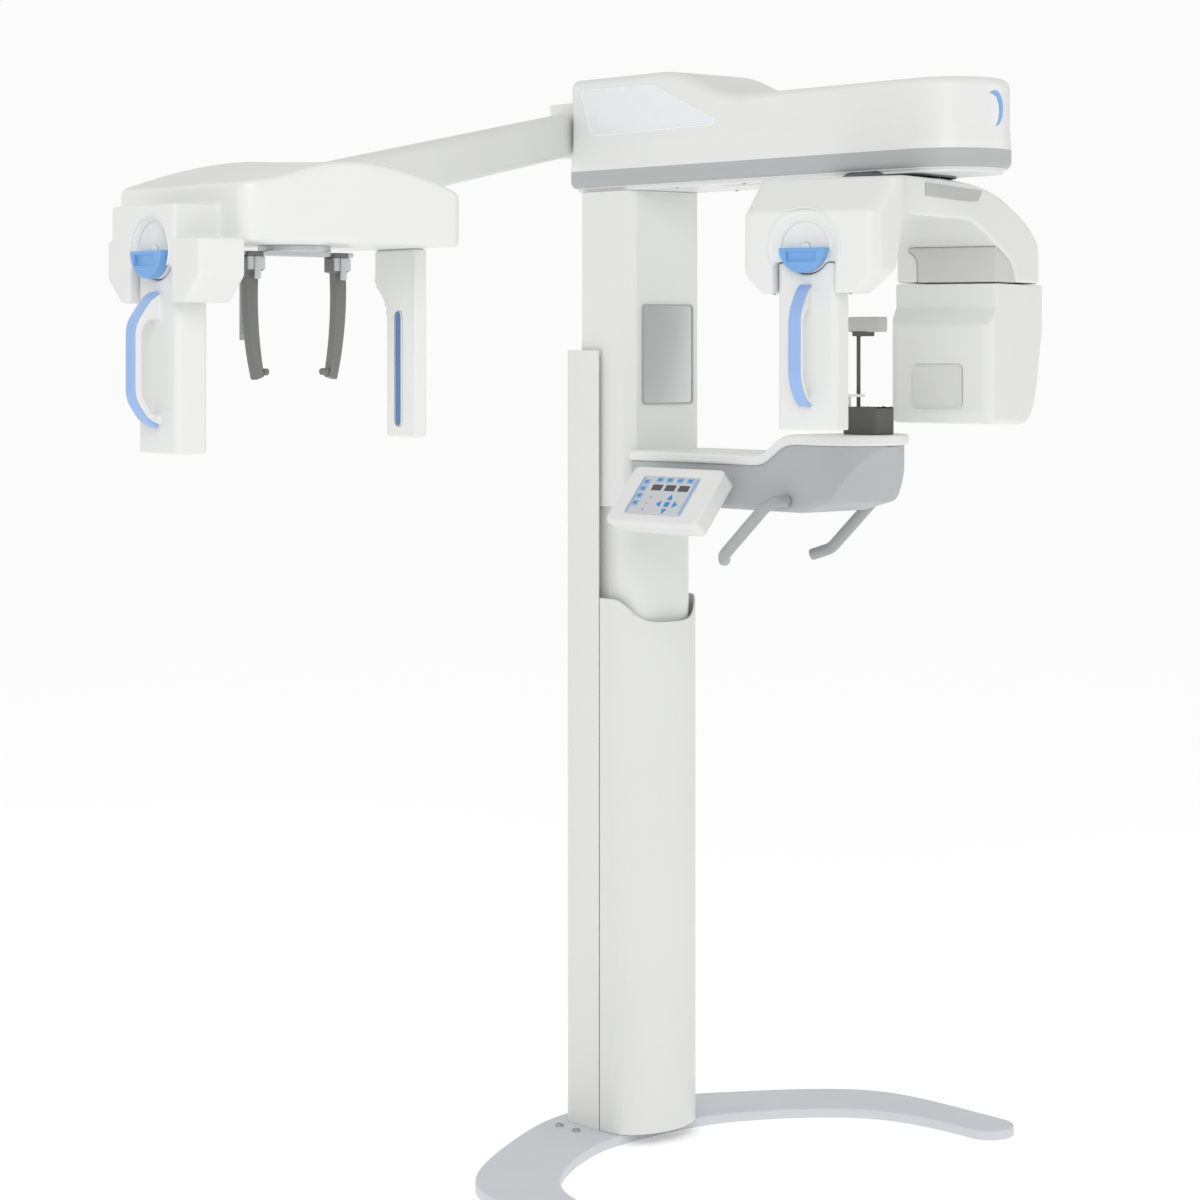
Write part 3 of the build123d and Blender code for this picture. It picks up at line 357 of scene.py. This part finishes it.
def remould(node, voxel, rounds):
    """Replaces a node by a copy with soft moulded edges: even cells, smoothed, then thinned."""
    piece = bpy.data.objects.new(node + "_skin", NODES[node].data.copy())
    bpy.context.scene.collection.objects.link(piece)
    weld(piece)
    cells = piece.modifiers.new("cells", "REMESH")
    cells.mode = "VOXEL"
    cells.voxel_size = voxel
    smooth = piece.modifiers.new("smooth", "SMOOTH")
    smooth.factor = 0.5
    smooth.iterations = rounds
    bake(piece)
    if node in SWEPT_BY_LATCH:
        clear_dish(piece, SWEPT_BY_LATCH[node])
    thin = piece.modifiers.new("thin", "DECIMATE")
    thin.ratio = SKIN_FACES_KEPT
    bake(piece)
    piece.data.materials.clear()
    piece.data.materials.append(material_of(node))
    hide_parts(node)
    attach(piece, body_of(node))


def clear_dish(piece, lock):
    """Presses the smoothed floor of a dish flat again, to leave room for the turning latch."""
    pivot = joint_place(lock)
    outward = joint_axis(lock)
    for vert in piece.data.vertices:
        offset = vert.co - pivot
        height = offset.dot(outward)
        radius = (offset - height * outward).length
        if DISH_FLOOR < height < DISH_MOUTH and radius < DISH_RADIUS:
            vert.co -= (height - DISH_FLOOR) * outward


def bake(piece):
    """Turns a piece with its modifiers into a plain smooth mesh."""
    bpy.context.view_layer.update()
    evaluated = piece.evaluated_get(bpy.context.evaluated_depsgraph_get())
    mesh = bpy.data.meshes.new_from_object(evaluated)
    piece.modifiers.clear()
    piece.data = mesh
    shade_smooth(mesh)


def shade_smooth(mesh):
    for face in mesh.polygons:
        face.use_smooth = True


# ------------------------------------------------------- shapes of details
def basis(origin, x_axis, y_axis, z_axis):
    """Placement from an origin and three axes."""
    return Matrix.Translation(origin) @ Matrix((x_axis, y_axis, z_axis)).transposed().to_4x4()


def facing(origin, normal):
    """Placement whose z axis is the normal given."""
    return Matrix.Translation(origin) @ normal.to_track_quat("Z", "Y").to_matrix().to_4x4()


def piece_from(name, mesh, material, body):
    """A finished mesh as a piece that rides on a CAD body."""
    piece = bpy.data.objects.new(name, mesh)
    bpy.context.scene.collection.objects.link(piece)
    mesh.materials.append(MATERIALS[material])
    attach(piece, body)


def mesh_of(name, build):
    """Mesh made by a function that fills a bmesh."""
    shape = bmesh.new()
    build(shape)
    bmesh.ops.recalc_face_normals(shape, faces=shape.faces)
    mesh = bpy.data.meshes.new(name)
    shape.to_mesh(mesh)
    shape.free()
    return mesh


def loft(shape, rings, tube=False):
    """Joins rings of vertices with quads; closes both ends, or a tube's last ring to its first."""
    count = len(rings[0])
    following = rings[1:] + rings[:1] if tube else rings[1:]
    for low, high in zip(rings, following):
        for i in range(count):
            j = (i + 1) % count
            shape.faces.new((low[i], low[j], high[j], high[i]))
    if not tube:
        shape.faces.new(list(reversed(rings[0])))
        shape.faces.new(rings[-1])


def transform(shape, rings, place):
    """Moves rings of vertices into place."""
    bmesh.ops.transform(shape, matrix=place, verts=[vert for ring in rings for vert in ring])


def lathe(shape, profile, place, sides, tube=False):
    """Adds a turned form; the profile is (radius, height), foot to top, or round a tube's wall."""
    angles = [2 * pi * i / sides for i in range(sides)]
    rings = []
    for radius, height in profile:
        rings.append([shape.verts.new((radius * cos(a), radius * sin(a), height)) for a in angles])
    loft(shape, rings, tube)
    transform(shape, rings, place)


def turned(name, profile, place, sides, material, body, tube=False):
    """One smooth turned piece."""
    mesh = mesh_of(name, lambda shape: lathe(shape, profile, place, sides, tube))
    shade_smooth(mesh)
    piece_from(name, mesh, material, body)


def screws(name, places, radius, body, material="steel"):
    """One piece with a domed screw head and its socket at every (point, normal)."""
    dome = [
        (radius, -0.3 * radius), (radius, 0.15 * radius), (0.92 * radius, 0.38 * radius),
        (0.72 * radius, 0.54 * radius), (0.5 * radius, 0.6 * radius),
        (0.46 * radius, 0.52 * radius), (0.44 * radius, 0.1 * radius), (0.05 * radius, 0.05 * radius),
    ]

    def build(shape):
        for point, normal in places:
            lathe(shape, dome, facing(point, normal), 18)
    mesh = mesh_of(name, build)
    shade_smooth(mesh)
    piece_from(name, mesh, material, body)


def slab_points(width, height, corner, steps=5):
    """Outline of a rectangle with round corners, centred on the origin."""
    points = []
    for quarter, (sx, sy) in enumerate(((1, 1), (-1, 1), (-1, -1), (1, -1))):
        for i in range(steps + 1):
            angle = (quarter + i / steps) * pi / 2
            points.append((
                sx * (width / 2 - corner) + corner * cos(angle),
                sy * (height / 2 - corner) + corner * sin(angle),
            ))
    return points


def plate(shape, outline, height, lip, place):
    """Adds a flat piece with a bevelled top edge to a bmesh."""
    size = max(abs(c) for point in outline for c in point)
    rings = []
    for z, inset in ((0, 0), (height - lip, 0), (height, lip)):
        share = 1 - inset / size
        rings.append([shape.verts.new((x * share, y * share, z)) for x, y in outline])
    loft(shape, rings)
    transform(shape, rings, place)


def plates(name, rows, place, body, material):
    """One piece with a plate for every (x, y, width, height, corner, thickness)."""
    def build(shape):
        for x, y, width, height, corner, thickness in rows:
            outline = slab_points(width, height, corner)
            lip = min(0.0003, thickness / 3)
            plate(shape, outline, thickness, lip, place @ Matrix.Translation((x, y, 0)))
    piece_from(name, mesh_of(name, build), material, body)


def soft_box(name, low, high, rounding, body, material):
    """Box with well rounded edges."""
    shape = bmesh.new()
    bmesh.ops.create_cube(shape, size=1)
    bmesh.ops.scale(shape, vec=high - low, verts=shape.verts)
    bmesh.ops.bevel(
        shape, geom=shape.edges[:], offset=rounding, segments=4, profile=0.6, affect="EDGES",
    )
    bmesh.ops.translate(shape, vec=(high + low) / 2, verts=shape.verts)
    mesh = bpy.data.meshes.new(name)
    shape.to_mesh(mesh)
    shape.free()
    shade_smooth(mesh)
    piece_from(name, mesh, material, body)


def bead(name, points, radius, body, material, closed=False):
    """Round bead along a line of points."""
    curve = bpy.data.curves.new(name, "CURVE")
    curve.dimensions = "3D"
    curve.bevel_depth = radius
    curve.bevel_resolution = 2
    curve.use_fill_caps = True
    line = curve.splines.new("POLY")
    line.points.add(len(points) - 1)
    for spot, point in zip(line.points, points):
        spot.co = (*point, 1)
    line.use_cyclic_u = closed
    holder = bpy.data.objects.new(name, curve)
    bpy.context.scene.collection.objects.link(holder)
    bpy.context.view_layer.update()
    evaluated = holder.evaluated_get(bpy.context.evaluated_depsgraph_get())
    mesh = bpy.data.meshes.new_from_object(evaluated)
    bpy.data.objects.remove(holder)
    shade_smooth(mesh)
    piece_from(name, mesh, material, body)


def face_rim(node, direction):
    """Corner points, in order, of the flat face that lies furthest in a direction."""
    spots = [v.co for v in NODES[node].data.vertices]
    furthest = max(co.dot(direction) for co in spots)
    on_face = [co for co in spots if co.dot(direction) > furthest - 1e-5]
    rim = [Vector(co) for co in sorted({tuple(round(c, 6) for c in co) for co in on_face})]
    centre = sum(rim, Vector()) / len(rim)
    side = direction.orthogonal().normalized()
    above = direction.cross(side)
    return sorted(rim, key=lambda co: atan2((co - centre).dot(above), (co - centre).dot(side)))


def rim_bead(name, node, direction, radius, material):
    """Bead that closes the gap round a flat inlay, just proud of its face."""
    rim = [co + 0.0002 * direction for co in face_rim(node, direction)]
    bead(name, rim, radius, body_of(node), material, closed=True)


def arc_points(pivot, outward, radius, lift, start, end, steps=40):
    """Points of an arc round a pivot, in degrees above its level, lifted along its axis."""
    across = outward.cross(UP)
    points = []
    for i in range(steps + 1):
        angle = radians(start + (end - start) * i / steps)
        points.append(pivot + radius * (cos(angle) * across + sin(angle) * UP) + lift * outward)
    return points


# ---------------------------------------------------------- added details
FILM_TOP = 0.0006           # from the middle of the panel's film to its face
FIELD_TOP, MARK_TOP, BAND_TOP = 0.0009, 0.0014, 0.0004
LAMP_DOME = [(0.0021, 0), (0.0021, 0.0004), (0.0017, 0.0010), (0.0008, 0.0013), (0.0001, 0.00135)]
# Material and place on the film of each pilot light.
LAMPS = {
    "lamp_ready": ("lamp_green", -0.029, -0.0055),
    "lamp_warm": ("lamp_amber", -0.033, -0.0205),
    "lamp_power": ("key_blue", -0.034, -0.0355),
}

LATCH_RING = 0.0505         # radius of the ring over a latch's half round
PIVOT_CAP = [(0.0095, 0), (0.0095, 0.0012), (0.0084, 0.0022), (0.0050, 0.0028), (0.0001, 0.0030)]

# Width, depth in front of the rod's middle, and reach below the rod's top.
EAR_BRACKETS = {
    "clip": (0.0335, 0.0185, 0.031),
    "tab": (0.012, 0.0215, 0.047),
}
BRACKET_INSET = 0.0150      # from the rod's outer side to the bracket's middle
BRACKET_THICKNESS = 0.004
BRACKET_DROP = 0.009        # from the rod's top to the bracket's top

SOCKET_Z = 0.19             # middle of the mains socket and its service plate
VENTS, VENT_Z, VENT_PITCH = 6, 0.30, 0.018

COLLAR_WALL = [
    (0.1, 0.012), (0.1, 0.0), (0.104, -0.003), (0.112, -0.003), (0.113, 0.0), (0.113, 0.001),
]
# Outline (along the beam, height) of the strip of painted shade on the arch's near side, where the gantry shades
# its shoulder.
PAINTED_SHADE_OUTLINE = [
    (-0.118, 1.990), (-0.118, 1.966), (0.000, 1.9645), (0.098, 1.9635), (0.145, 1.9665),
    (0.158, 1.9760), (0.166, 1.9870),
]


def panel_place():
    """Placement on the panel's film: x to the right, y up its slope, z off its face."""
    film = middle("panel_film") + FILM_TOP * PANEL_FACE
    return basis(film, FRONT, PANEL_FACE.cross(FRONT), PANEL_FACE)


def panel_details():
    """Pictogram keys, tinted bands and pilot lights of the membrane."""
    place = panel_place()
    top = [(x, 0.0385, 0.02, 0.0115) for x in (-0.0305, -0.001, 0.03, 0.06)]
    side = [(-0.067, y, 0.017, 0.0125) for y in (0.0325, 0.0155, -0.0025, -0.0205)]
    fields = [(x, y, w, h, 0.002, FIELD_TOP) for x, y, w, h in top + side]
    marks = [(x, y, w * 0.55, h * 0.5, 0.001, MARK_TOP) for x, y, w, h in top + side]
    bands = [(x, 0, width, 0.088, 0.002, BAND_TOP) for x, width in ((0.0795, 0.008), (-0.0805, 0.006))]
    plates("panel_keys", fields, place, "column", "film_blue")
    plates("panel_marks", marks, place, "column", "key_blue")
    plates("panel_bands", bands, place, "column", "film_blue")
    for name, (material, x, y) in LAMPS.items():
        seat = place @ Matrix.Translation((x, y, 0))
        turned(name, LAMP_DOME, seat, 24, material, "column")


def inlay_beads():
    """Beads round the gantry's side insets, near white as a painted highlight along their edges, and round the
    tube window.
    """
    rim_bead("inset_highlight_left", "side_insets", LEFT, 0.0012, "painted_highlight_edge")
    rim_bead("inset_highlight_right", "side_insets", RIGHT, 0.0012, "painted_highlight_edge")
    rim_bead("window_bead", "tube_window", -BEAM, 0.0019, "window_grey")


def latch_rings(prefix, body, dish):
    """Raised rings over the latch and round its dish, and the cap over its pivot."""
    pivot = joint_place(prefix + "_lock_turn")
    outward = joint_axis(prefix + "_lock_turn")
    inner = arc_points(pivot, outward, LATCH_RING, 0.0050, -4, 184)
    outer = arc_points(pivot, outward, dish, 0.0137, -25, 205)
    seat = facing(pivot + 0.0040 * outward, outward)
    latch_body = body_of(prefix + "_latch")
    bead(prefix + "_inner_ring", inner, 0.0022, body, "white_skin")
    turned(prefix + "_pivot_cap", PIVOT_CAP, seat, 32, "white_skin", latch_body)
    bead(prefix + "_outer_ring", outer, 0.0016, body, "white_skin")


def ear_brackets():
    """Bright metal clips, each with a narrow tab, that hold the ear rods to their rail."""
    for side in ("left", "right"):
        low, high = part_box("ear_arm_" + side)
        x = low.x + BRACKET_INSET if side == "left" else high.x - BRACKET_INSET
        for name, (width, depth, reach) in EAR_BRACKETS.items():
            front = (low.y + high.y) / 2 - depth
            soft_box(
                f"ear_{name}_{side}",
                Vector((x - width / 2, front, high.z - reach)),
                Vector((x + width / 2, front + BRACKET_THICKNESS, high.z - BRACKET_DROP)),
                0.0012, "ear_" + side, "aluminium",
            )


def stand_details():
    """Anchor bolts, and the vents, service plate, mains socket and screws on the post's back."""
    plate_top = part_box("base_plate")[1].z
    bolts = [(Vector((x, y, plate_top)), UP) for x in (-0.155, 0.155) for y in (0.02, 0.075)]
    screws("anchor_bolts", bolts, 0.009, "stand")
    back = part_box("post_cover")[1].y
    place = basis(Vector((0, back, 0)), LEFT, UP, REAR)
    vents = [(0, VENT_Z + VENT_PITCH * i, 0.12, 0.007, 0.0034, 0.0022) for i in range(VENTS)]
    cover = [(0, SOCKET_Z, 0.14, 0.09, 0.008, 0.003)]
    socket = [(0, SOCKET_Z, 0.05, 0.034, 0.004, 0.0065)]
    corners = [(x, SOCKET_Z + z) for x in (-0.06, 0.06) for z in (-0.035, 0.035)]
    sides = [(x, z) for x in (-0.085, 0.085) for z in (0.5, 0.9, 1.3, 1.62)]
    plates("vent_slats", vents, place, "stand", "seam")
    plates("service_plate", cover, place, "stand", "grey_paint")
    on_cover = [(Vector((x, back + 0.003, z)), REAR) for x, z in corners]
    screws("service_screws", on_cover, 0.0035, "stand")
    plates("mains_socket", socket, place, "stand", "rubber")
    on_post = [(Vector((x, back, z)), REAR) for x, z in sides]
    screws("post_screws", on_post, 0.004, "stand", "white_steel")


def gantry_details():
    """Screws, a service hatch and the shaft's collar on the gantry's underside."""
    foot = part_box("gantry_floor")[0].z
    spots = [(Vector((x, y, foot)), DOWN) for x in (-0.085, 0.085) for y in (-0.62, -0.42, -0.22)]
    screws("gantry_screws", spots, 0.004, "column")
    place = basis(Vector((0, 0, foot)), RIGHT, FRONT, DOWN)
    hatch = [(0, 0.42, 0.12, 0.2, 0.01, 0.0025)]
    plates("service_hatch", hatch, place, "column", "white_skin")
    axis = joint_place("arm_rotation")
    seat = Matrix.Translation((axis.x, axis.y, foot))
    turned("shaft_collar", COLLAR_WALL, seat, 72, "seam", "column", tube=True)


def arm_details():
    """Strip of painted shade on the side of the arch, where the gantry shades its shoulder, and screws under the
    hub.
    """
    def build(shape):
        rings = []
        for across, inset in ((-0.1070, 0.0), (-0.1066, 0.0012)):
            rings.append([shape.verts.new(arm_place(along, across, z - inset)) for along, z in PAINTED_SHADE_OUTLINE])
        loft(shape, rings)
    # Grey sheet of painted shade: it stands in for the gantry's shadow on the arch's shoulder.
    piece_from("arch_painted_shade", mesh_of("arch_painted_shade", build), "shade_grey", "c_arm")
    under = [(arm_place(-0.39, across, 1.776), DOWN) for across in (-0.075, 0.078)]
    screws("hub_screws", under, 0.0035, "c_arm")


def rest_details():
    """Light grey pad round the forehead bar."""
    low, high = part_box("head_support")
    foot = Vector((low.x, low.y, high.z - 0.0275))
    grow = Vector((0.0012, 0.0012, 0.0012))
    soft_box("forehead_pad", foot - grow, high + grow, 0.005, "head_rest", "shade_grey")


# ------------------------------------------------------------------ studio
SKY_LIGHT = 0.70            # sky as the object sees it
BACKDROP = 0.965            # sky as the camera sees it
FLOOR_GLOW = 0.320          # lifts the floor to the backdrop's tone

SENSOR_WIDTH = 36           # mm
FOCAL_LENGTH = 87.71        # mm
CAMERA_PLACE = (-4.170, -4.682, 1.680)
CAMERA_TURN = 40.96         # degrees clockwise from the y axis; the camera looks level
LENS_SHIFT = -0.2193        # lowers the frame to the whole unit
SHIFT_WITHIN = 0.02         # radians away from the set-up view where the shift has faded to 0


def floor():
    """Pale floor that fades into the sky."""
    bpy.ops.mesh.primitive_plane_add(size=60, location=(0, 0, -0.0005))
    ground = bpy.context.object
    ground.name = "floor"
    shader = Shader("floor", srgb(246, 246, 246), 0.9)
    shader.tint(shader.ramp(shader.noise(2), 0, 0.1), srgb(242, 242, 242))
    shader.surface.inputs["Emission Color"].default_value = (1, 1, 1, 1)
    shader.surface.inputs["Emission Strength"].default_value = FLOOR_GLOW
    ground.data.materials.append(shader.material)


def sky():
    """Even white sky, brighter as a backdrop than as a light."""
    world = bpy.data.worlds.new("studio")
    bpy.context.scene.world = world
    world.use_nodes = True
    tree = world.node_tree
    background = tree.nodes["Background"]
    background.inputs["Color"].default_value = (1.0, 1.0, 1.0, 1)
    paths = tree.nodes.new("ShaderNodeLightPath")
    strength = tree.nodes.new("ShaderNodeMix")
    strength.inputs["A"].default_value = SKY_LIGHT
    strength.inputs["B"].default_value = BACKDROP
    tree.links.new(paths.outputs["Is Camera Ray"], strength.inputs["Factor"])
    tree.links.new(strength.outputs["Result"], background.inputs["Strength"])


def area(name, place, target, size, power):
    """Square light of a given size and power, turned to a target."""
    light = bpy.data.lights.new(name, "AREA")
    light.size = size
    light.energy = power
    lamp = bpy.data.objects.new(name, light)
    lamp.location = place
    lamp.rotation_euler = (Vector(target) - Vector(place)).to_track_quat("-Z", "Y").to_euler()
    bpy.context.scene.collection.objects.link(lamp)


def shift_in_place(lens, view, amount):
    """Lens shift that holds while the camera looks the way it was set up, and is 0 from elsewhere."""
    aim = bpy.data.objects.new("camera_aim", None)
    aim.location = view.location
    aim.rotation_euler = view.rotation_euler
    bpy.context.scene.collection.objects.link(aim)
    curve = lens.driver_add("shift_y")
    while curve.modifiers:
        curve.modifiers.remove(curve.modifiers[0])
    while curve.keyframe_points:
        curve.keyframe_points.remove(curve.keyframe_points[0])
    curve.extrapolation = "CONSTANT"
    for turn, value in ((0.0, amount), (SHIFT_WITHIN, 0.0)):
        curve.keyframe_points.insert(turn, value).interpolation = "LINEAR"
    curve.driver.type = "SUM"
    difference = curve.driver.variables.new()
    difference.type = "ROTATION_DIFF"
    difference.targets[0].id = view
    difference.targets[1].id = aim


def camera():
    """Level camera off the unit's front left, framed low with lens shift."""
    lens = bpy.data.cameras.new("camera")
    lens.sensor_width = SENSOR_WIDTH
    lens.lens = FOCAL_LENGTH
    lens.clip_end = 100
    view = bpy.data.objects.new("camera", lens)
    view.location = CAMERA_PLACE
    view.rotation_euler = (pi / 2, 0, -radians(CAMERA_TURN))
    bpy.context.scene.collection.objects.link(view)
    bpy.context.scene.camera = view
    shift_in_place(lens, view, LENS_SHIFT)
    bpy.context.scene.view_settings.view_transform = "Standard"


# ------------------------------------------------------------------ the scene
paint_nodes()
for node, width in SOFT_EDGES.items():
    soften(node, width)
for node, (voxel, rounds) in REMOULDED.items():
    remould(node, voxel, rounds)

panel_details()
inlay_beads()
latch_rings("pano", "c_arm", dish=0.0735)
latch_rings("ceph", "column", dish=0.0575)
ear_brackets()
stand_details()
gantry_details()
arm_details()
rest_details()

floor()
sky()
area("key", (-3.4, -3.2, 3.6), (0, -0.3, 1.3), 2.2, 42)
area("fill", (3.0, -3.6, 2.6), (0, -0.3, 1.4), 2.4, 14)
area("rear", (-2.0, 3.6, 3.2), (0, 0, 1.6), 2.4, 10)
camera()
